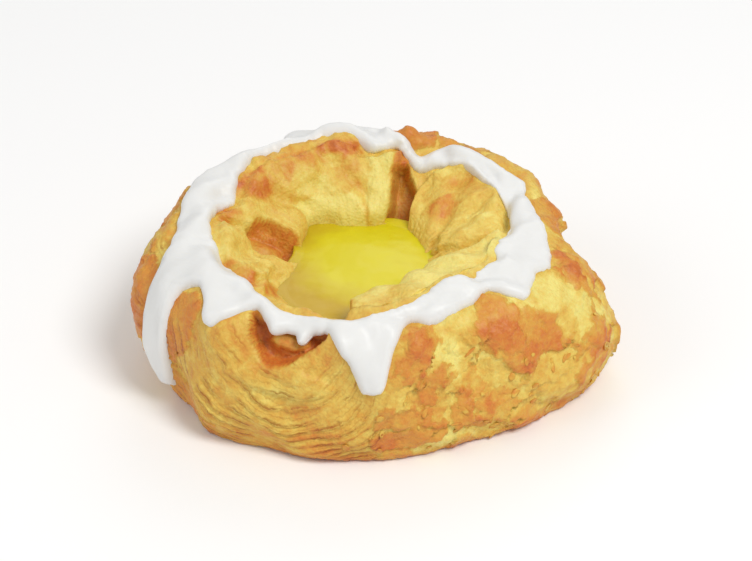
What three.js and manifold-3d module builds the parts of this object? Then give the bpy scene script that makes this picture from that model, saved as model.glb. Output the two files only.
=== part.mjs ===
// A danish pastry: a puffed ring of laminated dough with folded-in petals round a well of custard, and a
// poured band of white icing along its rim. Three solids: the dough, the custard and the icing.
// Millimetres, +Z up. The origin is at the middle of the footprint, on the surface that the pastry rests on.
// Angles are in degrees seen from above, 0 along +X and 90 along +Y. A slice at one angle is a curve that
// runs from the foot (0) over the belly (2), the shoulder (3), the crest (4), the lip (5) and the inner
// wall (6) to the custard line (7) and the well's floor (9). A place on the dough is an angle and that number.
import * as THREE from "three";
import { mergeVertices } from "three/addons/utils/BufferGeometryUtils.js";
import Module from "manifold-3d";

const wasm = await Module();
wasm.setup();

// ---- Driving sizes -------------------------------------------------------------------------------------
const CUSTARD_LEVEL = 24; // height of the custard's edge
const CUSTARD_CROWN = 1.2; // how much higher its middle stands
const WELL_FLOOR = 11; // height of the dough under the custard
const WELL_FLOOR_INSET = 7; // how far in from the custard line the floor starts
const ICING_THICK = 2.1;
const ICING_SUNK = 1.4; // how far the icing is drawn into the dough before it is cut to fit
const GAP = 0.35; // clearance between touching solids
const MIDDLE = [1.12, 0.71]; // the slices turn about this point off the origin, so that the origin is central
const DOUGH_SLICES = 120;
const ICING_SLICES = 120;
const CUSTARD_SLICES = 32;

// Outlines, each as [angle, millimetres] where the outline turns.
const BELLY_RADIUS = [
  [-60, 45.6], [-36, 51.2], [-18, 57.2], [-6, 58], [3, 50.5], [10, 47.6], [18, 47.2], [34, 48.6],
  [60, 48], [90, 48], [120, 47.5], [150, 50.5], [172, 53.8], [188, 56.8], [202, 56.2], [212, 53],
  [222, 54], [238, 49], [252, 47.4], [270, 46],
];
const BELLY_HEIGHT = [[0, 15], [60, 17], [120, 18], [180, 20], [215, 14], [240, 10], [270, 10], [315, 11]];
const FOOT_TUCK = [[0, 3], [90, 4], [180, 7], [215, 3], [245, 1.2], [280, 1.2], [320, 1.8]];
const CREST_RADIUS = [
  [0, 36], [25, 38.5], [42, 39], [54, 37], [66, 37.5], [78, 36], [92, 34], [107, 35], [141, 38.2],
  [165, 42], [195, 43.4], [211, 42], [233, 38], [253, 35.5], [281, 35], [300, 32.5], [324, 33.5],
];
const CREST_HEIGHT = [
  [0, 34.5], [30, 35.5], [50, 37.2], [64, 37], [74, 38.6], [86, 38], [107, 39], [141, 37.8],
  [176, 36.4], [211, 35], [233, 34], [253, 33], [281, 34], [310, 34.5], [335, 34],
];
const LIP_WIDTH = [[0, 5], [90, 5.5], [180, 6], [233, 3.6], [253, 2.6], [281, 3.4], [310, 3.8]];
const CUSTARD_RADIUS = [
  [0, 13.5], [30, 14], [60, 17], [90, 16.5], [112, 17.6], [135, 21], [150, 22], [180, 22], [210, 24.7],
  [240, 25.5], [262, 24.5], [284, 22.5], [318, 20.5], [340, 17],
];
const WALL_IN = [
  [0, 1], [60, 0.3], [110, -0.3], [170, 0], [235, -0.6], [256, 1], [268, 4], [284, 5.5], [318, 5],
  [344, 2.4],
];
const WALL_UP = [
  [0, 1], [60, 0.3], [110, -0.3], [170, 0], [235, -0.6], [256, 0], [272, 1.6], [318, 2], [344, 1.6],
];
const LIP_DROP = 2.2; // the lip lies this far below the crest
const SHOULDER_OUT = 0.63; // the shoulder's place from crest to belly, as a share of the width
const SHOULDER_UP = 0.74; // and as a share of the height

// Petals of dough folded down the inner wall, as outlines on the dough, and the hollows between them.
const BACK_PETAL = {
  thick: 2.4,
  outline: [
    [77, 9.6], [77.5, 4.95], [88, 5.02], [97, 5.05], [100, 4.6], [107, 4.5], [125, 4.65], [143, 4.5],
    [153, 4.9], [163, 5.25], [173, 4.9], [171, 5.5], [165, 5.9], [158, 7.1], [156, 9.6],
  ],
};
const RIGHT_PETAL = {
  thick: 2.2,
  outline: [
    [60, 9.6], [60, 7], [64, 6.3], [61, 5.5], [52, 4.85], [37, 4.75], [22, 4.9], [8, 5.1], [-7, 5.2],
    [-2, 6.1], [10, 6.8], [22, 7.2], [24, 9.6],
  ],
};
const LEFT_PETAL = {
  thick: 2,
  outline: [
    [176, 5], [188, 5.05], [201, 5.35], [207, 5.8], [203, 6.4], [193, 6.6], [186, 6.1], [178, 5.75],
  ],
};
// The strip along the front right leans in over the custard and ends in a cut at its left.
const FRONT_STRIP = {
  thick: 3.4,
  outline: [
    [-101, 4.5], [-100, 6.1], [-76, 6.35], [-42, 6.35], [-20, 6.05], [-7, 5.5], [-10, 4.9], [-50, 4.7],
    [-85, 4.5],
  ],
};
// The deep hollow between the back and right petals.
const BACK_HOLLOW = {
  thick: -6.5,
  outline: [
    [79, 5.5], [74, 5.4], [69, 5.7], [62, 6.3], [60, 6.8], [70, 6.95], [80, 6.85], [77, 6.5],
  ],
};
// The hollow between the back and left petals.
const LEFT_HOLLOW = {
  thick: -4.5,
  outline: [
    [166, 5.7], [159, 6.05], [160, 6.5], [160, 6.95], [166, 7.05], [176, 6.95], [182, 6.75], [180, 6.1],
    [179, 5.7],
  ],
};
const UNDER_PETAL = { at: [14, 6.75], half: [8, 0.25], deep: 1.6 };
// The open fold in the crust at the front left, with its lower lip.
const FOLD_MIDDLE = -117;
const FOLD = {
  thick: -4.6,
  outline: [
    [-132, 3.7], [-130.9, 3.6], [-128.4, 3.21], [-126, 2.97], [-124.2, 2.84], [-121.5, 2.76],
    [-118.5, 2.79], [-115.2, 2.88], [-112, 3.06], [-109.5, 3.22], [-105.3, 3.45], [-106, 3.62],
    [-118, 3.68],
  ],
};
const FOLD_LIP = { at: [-116, 2.62], half: [14, 0.16], deep: -1 };
// The crack between the right petal and the front strip.
const CRACK = {
  thick: -1.9,
  outline: [[-1, 5.1], [-14, 5.75], [-32, 6.4], [-42, 6.7], [-34, 6.95], [-14, 6.3], [2, 5.5]],
};

const SHEETS = [BACK_PETAL, RIGHT_PETAL, LEFT_PETAL, FRONT_STRIP, CRACK, BACK_HOLLOW, LEFT_HOLLOW, FOLD];

// Lumps of the crust, as [angle, place, half-angle, half-place, height].
const LUMPS = [
  [-148, 3.2, 5, 0.55, 1.6], // pleat under the icing, left
  [-134, 3.1, 4.5, 0.7, 1.2], // second pleat
  [-159, 2.9, 4, 0.7, 0.8], // pleat at the far left
  [-100, 3.3, 5, 0.55, 1.5], // pleat right of the open fold
  [-167, 2.6, 6, 0.4, 2.2], // browned block at the far left
  [-76, 3.35, 6, 0.4, 0.9], // shoulder beside the long drip
  [-43, 3.2, 10, 0.5, 1], // browned blister on the right front
  [-25, 3.2, 6, 0.3, 0.7], // pale blister beside it
  [-30, 2.1, 12, 0.4, 1],
  [-62, 2.3, 10, 0.5, -0.8],
  [17, 3, 7, 0.6, 2], // crags of the back right rim
  [36, 3.1, 11, 0.6, 3],
  [84, 3.95, 3, 0.32, 1.5], // bare knob of dough at the back, in three lumps
  [75.5, 4.2, 3.5, 0.42, 1.9],
  [67, 4, 3, 0.3, 1.3],
  [102, 2.6, 12, 0.5, 1.1],
  [143, 3.4, 8, 0.5, 1.4],
  [152, 2.4, 10, 0.5, 1.2],
];

// Edges of the icing as places on the dough, and the drips that hang from its outer edge.
const ICING_INNER = [
  [7, 5.05], [24, 4.95], [38, 5.1], [50, 5], [61, 5.25], [68, 5.47], [74, 5.2], [80, 4.8], [92, 4.8],
  [97, 4.45], [102, 4.08], [124, 3.98], [133, 3.98], [143, 4.15], [151, 4.45], [156, 4.8], [163, 5.1],
  [172, 4.75], [191, 4.95], [205, 5.3], [221, 5], [233, 4.15], [243, 4], [254, 4.1], [266, 4.15],
  [281, 4.3], [307, 4.4], [334, 4.5], [350, 4.85],
];
const ICING_OUTER = [
  [-8, 3.55], [3, 3.6], [10, 3.67], [18, 3.88], [27, 3.62], [34, 4.05], [44, 4.1], [56, 3.92],
  [63, 4.25], [67, 4.82], [70, 4.95], [74, 4.65], [81, 4], [90, 3.5], [107, 3.5], [125, 3.6],
  [143, 3.58], [150, 3.52], [154, 3.35], [161, 3.35], [173, 3.5], [182, 3.5], [193, 3.42], [203, 3.45],
  [210, 3.52], [214.5, 3.34], [218, 3.1], [221.8, 3.06], [223.8, 3.28], [226, 3.5], [229.5, 3.74],
  [233.5, 3.55], [237.3, 3.31], [241.5, 3.44], [247, 3.42], [251, 3.52], [262, 3.5], [276, 3.5], [284, 3.8],
  [290, 3.5], [308, 3.58], [317, 3.72], [321, 3.45], [326, 3.28], [336, 3.48], [343, 3.42],
];
const DRIPS = [
  { angle: -90.5, half: 5.2, reach: 0.42, lean: 0 }, // the long one at the front
  { angle: -91.8, half: 10, reach: 0.5, lean: 0 }, // and its broad start
  { angle: -160, half: 4.2, reach: 1.6, lean: 3.5 }, // the run down the left side
  { angle: -160, half: 7, reach: 0.4, lean: 0 }, // and its broad start
  { angle: -113, half: 2, reach: 0.14, lean: 0 },
  { angle: 118, half: 5, reach: 0.6, lean: -3 },
];

const OUTER_ROWS = [0, 1, 1.25, 1.5, 1.75, 2, 2.17, 2.33, 2.5, 2.67, 2.83, 3, 3.17, 3.33, 3.5, 3.67, 3.83];
const INNER_ROWS = [4, 4.25, 4.5, 4.75, 5, 5.25, 5.5, 5.75, 6, 6.25, 6.5, 6.75, 7];
const FLOOR_ROWS = [8, 9];

// ---- Curves and places ---------------------------------------------------------------------------------
const radians = THREE.MathUtils.degToRad;
const wrap = (degrees) => ((((degrees + 180) % 360) + 360) % 360) - 180;
const smooth = (x) => THREE.MathUtils.smoothstep(x, 0, 1);

// The value at an angle of a closed outline through [angle, value] knots.
function around(knots, angle) {
  const sorted = knots.map(([a, v]) => [((a % 360) + 360) % 360, v]).sort((p, q) => p[0] - q[0]);
  const n = sorted.length;
  const at = (i) => {
    const turn = Math.floor(i / n);
    const [a, v] = sorted[i - turn * n];
    return [a + 360 * turn, v];
  };
  const x = ((angle % 360) + 360) % 360;
  let i = sorted.findIndex(([a]) => a > x) - 1;
  if (i === -2) i = n - 1;
  const [a0, v0] = at(i - 1), [a1, v1] = at(i), [a2, v2] = at(i + 1), [a3, v3] = at(i + 2);
  const u = (x - a1) / (a2 - a1);
  const m1 = ((v2 - v0) / (a2 - a0)) * (a2 - a1);
  const m2 = ((v3 - v1) / (a3 - a1)) * (a2 - a1);
  const u2 = u * u, u3 = u2 * u;
  return (2 * u3 - 3 * u2 + 1) * v1 + (u3 - 2 * u2 + u) * m1 + (3 * u2 - 2 * u3) * v2 + (u3 - u2) * m2;
}

// The ten corner points of the slice at an angle, as [radius, height].
function sliceCorners(angle) {
  const belly = around(BELLY_RADIUS, angle), bellyUp = around(BELLY_HEIGHT, angle);
  const foot = belly - around(FOOT_TUCK, angle);
  const crest = around(CREST_RADIUS, angle), crestUp = around(CREST_HEIGHT, angle);
  const lip = crest - around(LIP_WIDTH, angle), lipUp = crestUp - LIP_DROP;
  const custard = around(CUSTARD_RADIUS, angle);
  return [
    [foot - 2.5, 0],
    [foot, 1.5],
    [belly, bellyUp],
    [crest + (belly - crest) * SHOULDER_OUT, bellyUp + (crestUp - bellyUp) * SHOULDER_UP],
    [crest, crestUp],
    [lip, lipUp],
    [(lip + custard) / 2 - around(WALL_IN, angle), (lipUp + CUSTARD_LEVEL) / 2 + around(WALL_UP, angle)],
    [custard, CUSTARD_LEVEL],
    [custard - 3, WELL_FLOOR + 2],
    [custard - WELL_FLOOR_INSET, WELL_FLOOR],
  ];
}

function onCircle(angle, radius, height) {
  const [x, y] = MIDDLE;
  const turn = radians(angle);
  return new THREE.Vector3(radius * Math.cos(turn) - x, radius * Math.sin(turn) - y, height);
}

const cornersBySlice = new Map();
function smoothPoint(angle, place) {
  if (!cornersBySlice.has(angle)) cornersBySlice.set(angle, sliceCorners(angle));
  const corners = cornersBySlice.get(angle);
  const i = Math.min(Math.floor(place), corners.length - 2);
  const pick = (j) => corners[THREE.MathUtils.clamp(j, 0, corners.length - 1)];
  const [a, b, c, d] = [pick(i - 1), pick(i), pick(i + 1), pick(i + 2)];
  const f = place - i;
  const along = (k) =>
    0.5 * (2 * b[k] + (c[k] - a[k]) * f + (2 * a[k] - 5 * b[k] + 4 * c[k] - d[k]) * f * f +
      (3 * b[k] - a[k] - 3 * c[k] + d[k]) * f * f * f);
  return onCircle(angle, along(0), Math.max(0, along(1)));
}

// Outward direction of the smooth dough.
function outward(angle, place) {
  const da = 0.5, dp = 0.03;
  const low = Math.max(0, place - dp), high = Math.min(9, place + dp);
  const round = smoothPoint(angle + da, place).sub(smoothPoint(angle - da, place));
  const up = smoothPoint(angle, high).sub(smoothPoint(angle, low));
  return round.cross(up).normalize();
}

// ---- Relief of the dough -------------------------------------------------------------------------------
// 1 inside an outline drawn on the dough, falling to 0 over a soft edge of the given width in millimetres.
const MM_PER_DEGREE = 0.5, MM_PER_PLACE = 8;
function inside(outline, angle, place, soft) {
  let nearest = Infinity, crossings = 0;
  const x = wrap(angle - outline[0][0]) * MM_PER_DEGREE, y = place * MM_PER_PLACE;
  outline.forEach(([a1, p1], i) => {
    const [a2, p2] = outline[(i + 1) % outline.length];
    const x1 = wrap(a1 - outline[0][0]) * MM_PER_DEGREE, y1 = p1 * MM_PER_PLACE;
    const dx = wrap(a2 - a1) * MM_PER_DEGREE, dy = (p2 - p1) * MM_PER_PLACE;
    const t = THREE.MathUtils.clamp(((x - x1) * dx + (y - y1) * dy) / (dx * dx + dy * dy), 0, 1);
    nearest = Math.min(nearest, Math.hypot(x - x1 - t * dx, y - y1 - t * dy));
    if (y1 > y !== y1 + dy > y && x < x1 + ((y - y1) / dy) * dx) crossings += 1;
  });
  return smooth(0.5 + (crossings % 2 ? nearest : -nearest) / soft);
}

const within = ([a, p], [ha, hp], angle, place) =>
  Math.hypot(wrap(angle - a) / ha, (place - p) / hp);

// A hollow with a flat floor and steep sides.
const hollow = ({ at, half, deep }, angle, place) =>
  -deep * smooth((1.25 - within(at, half, angle, place)) / 0.5);

// Layers of dough that curl round the open fold like the rings of a tree.
const LAYER_PITCH = 6.2, LAYER_STEP = 1.0;
function layers(angle, place) {
  const across = wrap(angle - FOLD_MIDDLE) * 0.85, down = (3.6 - place) * 15;
  const ring = Math.hypot(across, down) / LAYER_PITCH + 0.3 * Math.sin(radians(angle * 5));
  const shown = smooth((Math.hypot(across, down) - 9) / 6) * smooth((42 - Math.abs(across)) / 10);
  const outside = smooth((3.7 - place) / 0.4) * smooth((place - 0.9) / 0.5);
  return LAYER_STEP * shown * outside * (Math.abs(((ring % 1) + 1) % 1 - 0.5) * 2 - 0.5);
}

// Slow unevenness all round, none at the foot and below the custard line.
function unevenness(angle, place) {
  const a = radians(angle);
  const wave =
    Math.sin(7 * a + 2.1 * place) + Math.sin(11 * a - 3.3 * place + 1) + Math.sin(17 * a + 5 * place + 2);
  return 0.42 * wave * smooth((place - 0.8) / 0.7) * smooth((7 - place) / 0.8);
}

function relief(angle, place) {
  let height = unevenness(angle, place) + layers(angle, place);
  for (const [a, p, halfAngle, halfPlace, lift] of LUMPS) {
    height += lift * Math.exp(-(within([a, p], [halfAngle, halfPlace], angle, place) ** 2));
  }
  for (const { thick, outline } of SHEETS) {
    height += thick * inside(outline, angle, place, 1.6) * smooth((7.3 - place) / 0.7);
  }
  for (const pit of [UNDER_PETAL, FOLD_LIP]) height += hollow(pit, angle, place);
  return height;
}

// A point of the real dough, or one raised off it.
function doughPoint(angle, place, raise = 0) {
  const point = smoothPoint(angle, place).addScaledVector(outward(angle, place), relief(angle, place) + raise);
  point.z = Math.max(0, point.z);
  return point;
}

// ---- Solids --------------------------------------------------------------------------------------------
// A closed lathe whose rings are then placed one by one: place(angle, row) gives each corner.
function placedLathe(rows, slices, place) {
  const profile = Array.from({ length: rows }, (_, row) => new THREE.Vector2(row, row));
  const shape = new THREE.LatheGeometry(profile, slices);
  const corners = shape.getAttribute("position");
  for (let slice = 0; slice <= slices; slice++) {
    const angle = ((slice % slices) * 360) / slices;
    for (let row = 0; row < rows; row++) corners.setXYZ(slice * rows + row, ...place(angle, row).toArray());
  }
  shape.deleteAttribute("normal");
  shape.deleteAttribute("uv");
  return mergeVertices(shape, 1e-3);
}

function toSolid(shape) {
  const vertProperties = new Float32Array(shape.getAttribute("position").array);
  const triVerts = new Uint32Array(shape.index.array);
  return new wasm.Manifold(new wasm.Mesh({ numProp: 3, vertProperties, triVerts }));
}

function toGeometry(solid) {
  const mesh = solid.getMesh();
  return new THREE.BufferGeometry()
    .setAttribute("position", new THREE.BufferAttribute(new Float32Array(mesh.vertProperties), 3))
    .setIndex(new THREE.BufferAttribute(new Uint32Array(mesh.triVerts), 1));
}

// A rough solid cut back from the dough, with a gap; only its largest piece is kept.
function fittedTo(dough, rough) {
  const pieces = toSolid(rough).subtract(toSolid(dough)).decompose();
  pieces.sort((a, b) => b.volume() - a.volume());
  return toGeometry(pieces[0]);
}

function makeDough() {
  const places = [...OUTER_ROWS, ...INNER_ROWS, ...FLOOR_ROWS];
  return placedLathe(places.length + 2, DOUGH_SLICES, (angle, row) => {
    if (row === 0) return onCircle(angle, 0, 0);
    if (row === places.length + 1) return onCircle(angle, 0, WELL_FLOOR);
    return doughPoint(angle, places[row - 1]);
  });
}

// A copy of a shape with each corner moved out along its normal.
function swollen(shape, distance) {
  const grown = shape.clone();
  grown.computeVertexNormals();
  const corners = grown.getAttribute("position"), normals = grown.getAttribute("normal");
  for (let i = 0; i < corners.count; i++) {
    const corner = new THREE.Vector3().fromBufferAttribute(corners, i);
    const normal = new THREE.Vector3().fromBufferAttribute(normals, i);
    corners.setXYZ(i, ...corner.addScaledVector(normal, distance).toArray());
  }
  return grown;
}

// The custard is a low dome that reaches into the wall all round before it is cut to fit.
function makeCustard() {
  const shares = [1, 0.6];
  const deep = WELL_FLOOR - 1;
  return placedLathe(shares.length + 3, CUSTARD_SLICES, (angle, row) => {
    const reach = around(CUSTARD_RADIUS, angle) + 2;
    if (row === 0) return onCircle(angle, 0, deep);
    if (row === 1) return onCircle(angle, reach, deep);
    const share = row === shares.length + 2 ? 0 : shares[row - 2];
    return onCircle(angle, reach * share, CUSTARD_LEVEL + CUSTARD_CROWN * (1 - share * share));
  });
}

// The outer edge of the icing: its wavy line, and the drips, each a rounded tongue that may lean as it runs.
function icingOuter(angle) {
  let place = around(ICING_OUTER, angle);
  for (const drip of DRIPS) {
    const off = Math.abs(wrap(angle - drip.angle)) / drip.half;
    place -= drip.reach * Math.pow(smooth(1.45 - off), 0.8);
  }
  return place;
}

function dripLean(angle, place) {
  let lean = 0;
  for (const drip of DRIPS) {
    const off = Math.abs(wrap(angle - drip.angle)) / drip.half;
    lean += drip.lean * smooth(2 - off / 1.3);
  }
  return lean * Math.max(0, 3.3 - place);
}

function makeIcing() {
  const across = [0, 0.05, 0.16, 0.38, 0.62, 0.84, 0.95, 1];
  const under = [0.5];
  const rows = across.length + under.length;
  return placedLathe(rows + 1, ICING_SLICES, (angle, row) => {
    const outer = icingOuter(angle), inner = around(ICING_INNER, angle);
    const index = row % rows;
    const top = index < across.length;
    const share = top ? across[index] : under[index - across.length];
    const place = outer + (inner - outer) * share;
    const full = Math.sqrt(1 - Math.pow(Math.abs(2 * share - 1), 5));
    const raise = top ? full * (ICING_THICK + ICING_SUNK) - ICING_SUNK : -ICING_SUNK;
    return doughPoint(angle + dripLean(angle, place), place, raise);
  });
}

// ---- Materials and the finished group ------------------------------------------------------------------
const baked = new THREE.MeshStandardMaterial({ color: 0xd9a655, roughness: 0.6, metalness: 0 });
const custardYellow = new THREE.MeshStandardMaterial({ color: 0xe0d23c, roughness: 0.3, metalness: 0 });
const icingWhite = new THREE.MeshStandardMaterial({ color: 0xf1f0ee, roughness: 0.35, metalness: 0 });

function named(name, geometry, material) {
  const mesh = new THREE.Mesh(geometry, material);
  mesh.name = name;
  return mesh;
}

const pastry = new THREE.Group();
const dough = makeDough();
const doughAndGap = swollen(dough, GAP);
pastry.add(named("dough", dough, baked));
pastry.add(named("custard", fittedTo(doughAndGap, makeCustard()), custardYellow));
pastry.add(named("icing", fittedTo(doughAndGap, makeIcing()), icingWhite));

export default pastry;
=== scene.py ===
import math

import bpy
import numpy as np
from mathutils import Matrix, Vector, kdtree, noise

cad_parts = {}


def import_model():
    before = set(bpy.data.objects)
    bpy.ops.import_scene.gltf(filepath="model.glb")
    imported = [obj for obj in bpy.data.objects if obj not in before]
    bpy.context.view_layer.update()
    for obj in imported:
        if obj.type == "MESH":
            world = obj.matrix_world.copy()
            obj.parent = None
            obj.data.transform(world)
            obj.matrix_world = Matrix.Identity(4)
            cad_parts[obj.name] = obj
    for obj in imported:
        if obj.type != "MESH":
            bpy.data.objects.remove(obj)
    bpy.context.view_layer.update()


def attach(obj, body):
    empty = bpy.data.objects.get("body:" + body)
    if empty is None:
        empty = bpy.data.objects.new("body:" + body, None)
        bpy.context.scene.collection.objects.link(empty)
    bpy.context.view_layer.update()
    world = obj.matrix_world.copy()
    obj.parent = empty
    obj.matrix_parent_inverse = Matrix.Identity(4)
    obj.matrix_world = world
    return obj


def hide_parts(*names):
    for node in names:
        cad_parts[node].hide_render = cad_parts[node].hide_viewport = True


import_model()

# ---- Floor, light and camera ---------------------------------------------------------------------------
# The pastry stands on a plain pale floor under a large soft lamp at the front right. Weaker lamps on the left
# and behind it and an even white sky let some light into every crack of the crust.
scene = bpy.context.scene
scene.view_settings.view_transform = "Standard"
scene.view_settings.look = "None"

LOOK_AT = Vector((-0.00052, -0.00071, 0.0195))
CAMERA_ELEVATION = math.radians(36)
CAMERA_DISTANCE = 0.6
CAMERA_LENS = 119.6
SKY_STRENGTH = 0.42
FLOOR_HALF = 3
FLOOR_WHITE = 0.95


def soft_lamp(name, place, size, power, colour=(1, 1, 1)):
    lamp = bpy.data.lights.new(name, "AREA")
    lamp.shape = "DISK"
    lamp.size = size
    lamp.energy = power
    lamp.color = colour
    holder = bpy.data.objects.new(name, lamp)
    holder.location = place
    holder.rotation_euler = (LOOK_AT - Vector(place)).to_track_quat("-Z", "Y").to_euler()
    scene.collection.objects.link(holder)


soft_lamp("key_lamp", place=(0.38, -0.42, 0.85), size=0.45, power=6.2, colour=(1, 0.99, 0.97))
soft_lamp("side_lamp", place=(-0.7, -0.2, 0.5), size=0.6, power=1.4)
soft_lamp("back_lamp", place=(0.1, 0.75, 0.6), size=0.6, power=1.4)

sky = bpy.data.worlds.new("studio")
sky.use_nodes = True
glow = sky.node_tree.nodes["Background"]
glow.inputs["Color"].default_value = (1, 1, 1, 1)
glow.inputs["Strength"].default_value = SKY_STRENGTH
scene.world = sky

floor_mesh = bpy.data.meshes.new("floor")
floor_corners = [(x * FLOOR_HALF, y * FLOOR_HALF, 0) for x, y in ((-1, -1), (1, -1), (1, 1), (-1, 1))]
floor_mesh.from_pydata(floor_corners, [], [(0, 1, 2, 3)])
floor = bpy.data.objects.new("floor", floor_mesh)
scene.collection.objects.link(floor)
floor_paint = bpy.data.materials.new("floor_paint")
floor_paint.use_nodes = True
paint = floor_paint.node_tree.nodes["Principled BSDF"]
paint.inputs["Base Color"].default_value = (FLOOR_WHITE, FLOOR_WHITE, FLOOR_WHITE, 1)
paint.inputs["Roughness"].default_value = 0.9
paint.inputs["Specular IOR Level"].default_value = 0.1
floor_mesh.materials.append(floor_paint)

camera_lens = bpy.data.cameras.new("camera")
camera_lens.sensor_width = 36
camera_lens.lens = CAMERA_LENS
camera_lens.clip_start = 0.05
camera = bpy.data.objects.new("camera", camera_lens)
backwards = Vector((0, -math.cos(CAMERA_ELEVATION), math.sin(CAMERA_ELEVATION)))
camera.location = LOOK_AT + backwards * CAMERA_DISTANCE
camera.rotation_euler = (math.pi / 2 - CAMERA_ELEVATION, 0, 0)
scene.collection.objects.link(camera)
scene.camera = camera

# ---- Dough ---------------------------------------------------------------------------------------------
# A square of yeast dough, rolled out with butter in many thin layers, folded to a ring with four petals
# turned down inside it, brushed with egg and baked until its top layers browned and tore.

# A point on the dough is given by its angle round the middle and its place along the slice there, which runs
# from the underside (0) and foot (1) over the belly (2), shoulder (3), crest (4), lip (5) and inner wall (6)
# to the custard line (7) and the well's floor (9). The tables give (angle, millimetres).
MIDDLE = (1.12, 0.71)
UNDERSIDE_IN, FOOT_UP = 2.5, 1.5
CUSTARD_LEVEL = 24
WELL_FLOOR = 11
WELL_FLOOR_INSET = 7
WELL_WALL_INSET, WELL_WALL_UP = 3, 2
LIP_DROP = 2.2
SHOULDER_OUT = 0.63
SHOULDER_UP = 0.74
BELLY_RADIUS = [
    (-60, 45.6), (-36, 51.2), (-18, 57.2), (-6, 58), (3, 50.5), (10, 47.6), (18, 47.2), (34, 48.6),
    (60, 48), (90, 48), (120, 47.5), (150, 50.5), (172, 53.8), (188, 56.8), (202, 56.2), (212, 53),
    (222, 54), (238, 49), (252, 47.4), (270, 46),
]
BELLY_HEIGHT = [(0, 15), (60, 17), (120, 18), (180, 20), (215, 14), (240, 10), (270, 10), (315, 11)]
FOOT_TUCK = [(0, 3), (90, 4), (180, 7), (215, 3), (245, 1.2), (280, 1.2), (320, 1.8)]
CREST_RADIUS = [
    (0, 36), (25, 38.5), (42, 39), (54, 37), (66, 37.5), (78, 36), (92, 34), (107, 35), (141, 38.2),
    (165, 42), (195, 43.4), (211, 42), (233, 38), (253, 35.5), (281, 35), (300, 32.5), (324, 33.5),
]
CREST_HEIGHT = [
    (0, 34.5), (30, 35.5), (50, 37.2), (64, 37), (74, 38.6), (86, 38), (107, 39), (141, 37.8),
    (176, 36.4), (211, 35), (233, 34), (253, 33), (281, 34), (310, 34.5), (335, 34),
]
LIP_WIDTH = [(0, 5), (90, 5.5), (180, 6), (233, 3.6), (253, 2.6), (281, 3.4), (310, 3.8)]
CUSTARD_RADIUS = [
    (0, 13.5), (30, 14), (60, 17), (90, 16.5), (112, 18.2), (124, 21), (135, 23.2), (148, 20.6),
    (168, 17.8), (185, 19.6), (210, 24.7), (240, 25.5), (262, 24.5), (284, 22.5), (318, 20.5), (340, 17),
]
WALL_IN = [
    (0, 1), (60, 0.3), (110, -0.3), (170, 0), (235, -0.6), (256, 1), (268, 4), (284, 5.5),
    (318, 5), (344, 2.4),
]
WALL_UP = [
    (0, 1), (60, 0.3), (110, -0.3), (170, 0), (235, -0.6), (256, 0), (272, 1.6), (318, 2), (344, 1.6),
]


def around(knots, angle):
    """The value at each angle of a closed outline through (angle, value) knots."""
    knots = sorted((a % 360, v) for a, v in knots)
    turns = [(a + 360 * turn, v) for turn in (-1, 0, 1) for a, v in knots]
    a, v = np.array(turns).T
    x = np.mod(angle, 360)
    i = np.searchsorted(a, x, side="right") - 1
    span = a[i + 1] - a[i]
    u = (x - a[i]) / span
    lean_in = (v[i + 1] - v[i - 1]) / (a[i + 1] - a[i - 1]) * span
    lean_out = (v[i + 2] - v[i]) / (a[i + 2] - a[i]) * span
    u2, u3 = u * u, u * u * u
    return (
        (2 * u3 - 3 * u2 + 1) * v[i]
        + (u3 - 2 * u2 + u) * lean_in
        + (3 * u2 - 2 * u3) * v[i + 1]
        + (u3 - u2) * lean_out
    )


def slice_corners(angle):
    """The ten corner points of the slices, as [corner, point, (radius, height)]."""
    belly, belly_up = around(BELLY_RADIUS, angle), around(BELLY_HEIGHT, angle)
    foot = belly - around(FOOT_TUCK, angle)
    crest, crest_up = around(CREST_RADIUS, angle), around(CREST_HEIGHT, angle)
    lip, lip_up = crest - around(LIP_WIDTH, angle), crest_up - LIP_DROP
    custard = around(CUSTARD_RADIUS, angle)
    level = np.full_like(belly, CUSTARD_LEVEL)
    corners = [
        (foot - UNDERSIDE_IN, 0 * level),
        (foot, 0 * level + FOOT_UP),
        (belly, belly_up),
        (crest + (belly - crest) * SHOULDER_OUT, belly_up + (crest_up - belly_up) * SHOULDER_UP),
        (crest, crest_up),
        (lip, lip_up),
        ((lip + custard) / 2 - around(WALL_IN, angle), (lip_up + level) / 2 + around(WALL_UP, angle)),
        (custard, level),
        (custard - WELL_WALL_INSET, 0 * level + WELL_FLOOR + WELL_WALL_UP),
        (custard - WELL_FLOOR_INSET, 0 * level + WELL_FLOOR),
    ]
    return np.array(corners).transpose(0, 2, 1)


def smooth_point(angle, place):
    """Points of the dough's plain form, in millimetres, on smooth curves through the slices' corners."""
    angle, place = np.broadcast_arrays(np.asarray(angle, float), np.asarray(place, float))
    corners = slice_corners(angle.ravel())
    flat = place.ravel()
    i = np.clip(np.floor(flat).astype(int), 0, 8)
    n = np.arange(len(flat))
    a, b, c, d = (corners[np.clip(i + k, 0, 9), n] for k in (-1, 0, 1, 2))
    f = (flat - i)[:, None]
    curve = 0.5 * (2 * b + (c - a) * f + (2 * a - 5 * b + 4 * c - d) * f**2 + (3 * b - a - 3 * c + d) * f**3)
    r, z = curve[:, 0], np.maximum(0, curve[:, 1])
    t = np.radians(angle.ravel())
    return np.stack([r * np.cos(t) - MIDDLE[0], r * np.sin(t) - MIDDLE[1], z], -1).reshape(*angle.shape, 3)


def outward(angle, place):
    """Outward directions of the plain form."""
    turn = smooth_point(angle + 0.5, place) - smooth_point(angle - 0.5, place)
    up = smooth_point(angle, np.minimum(9, place + 0.03)) - smooth_point(angle, np.maximum(0, place - 0.03))
    across = np.cross(turn, up)
    return across / np.linalg.norm(across, axis=-1, keepdims=True)


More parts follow.
